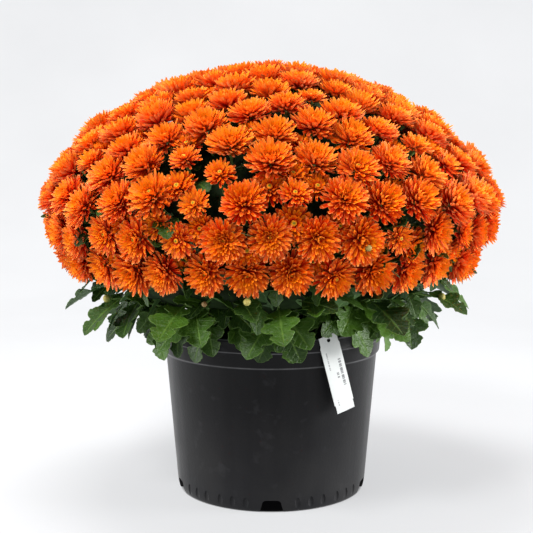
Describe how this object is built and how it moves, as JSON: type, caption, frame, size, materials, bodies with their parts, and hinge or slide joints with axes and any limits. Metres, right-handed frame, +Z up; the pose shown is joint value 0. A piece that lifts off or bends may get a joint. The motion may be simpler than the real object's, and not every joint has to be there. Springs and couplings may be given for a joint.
{
  "type": "pot chrysanthemum",
  "caption": "Potted garden mum: a dome of double orange blooms over lobed leaves, in a tapered plastic nursery pot with a hang tag.",
  "frame": {"origin": "on the floor, on the pot's axis", "axes": "+Z up along the pot's axis; -Y is the front, where one drainage notch is, and the tag hangs to its +X side"},
  "size_m": [0.5169, 0.5134, 0.4871],
  "materials": {
    "pot_plastic": "black moulded plastic, satin",
    "potting_soil": "crumbly moist potting mix of bark and peat",
    "leaf_green": "soft leaf, faint sheen",
    "petal_orange": "soft petal, satin",
    "tag_white": "white plastic, semi-matte"
  },
  "bodies": {
    "root": {"pot": "pot_plastic", "soil": "potting_soil", "tag": "tag_white", "crown": "leaf_green", "shoot_01": "leaf_green", "shoot_02": "leaf_green", "shoot_03": "leaf_green", "shoot_04": "leaf_green", "shoot_05": "leaf_green", "shoot_06": "leaf_green", "shoot_07": "leaf_green", "shoot_08": "leaf_green", "shoot_09": "leaf_green", "shoot_10": "leaf_green", "shoot_11": "leaf_green", "shoot_12": "leaf_green", "spray_01": "petal_orange", "spray_02": "petal_orange", "spray_03": "petal_orange", "spray_04": "petal_orange", "spray_05": "petal_orange", "spray_06": "petal_orange", "spray_07": "petal_orange", "spray_08": "petal_orange", "spray_09": "petal_orange", "spray_10": "petal_orange", "spray_11": "petal_orange", "spray_12": "petal_orange", "spray_13": "petal_orange", "spray_14": "petal_orange", "spray_15": "petal_orange", "spray_16": "petal_orange", "spray_17": "petal_orange", "spray_18": "petal_orange", "spray_19": "petal_orange", "spray_20": "petal_orange", "spray_21": "petal_orange", "spray_22": "petal_orange", "spray_23": "petal_orange", "spray_24": "petal_orange", "spray_25": "petal_orange", "spray_26": "petal_orange", "spray_27": "petal_orange", "spray_28": "petal_orange", "spray_29": "petal_orange", "spray_30": "petal_orange", "spray_31": "petal_orange", "spray_32": "petal_orange", "spray_33": "petal_orange", "spray_34": "petal_orange", "spray_35": "petal_orange", "spray_36": "petal_orange", "spray_37": "petal_orange", "spray_38": "petal_orange"}
  },
  "joints": []
}
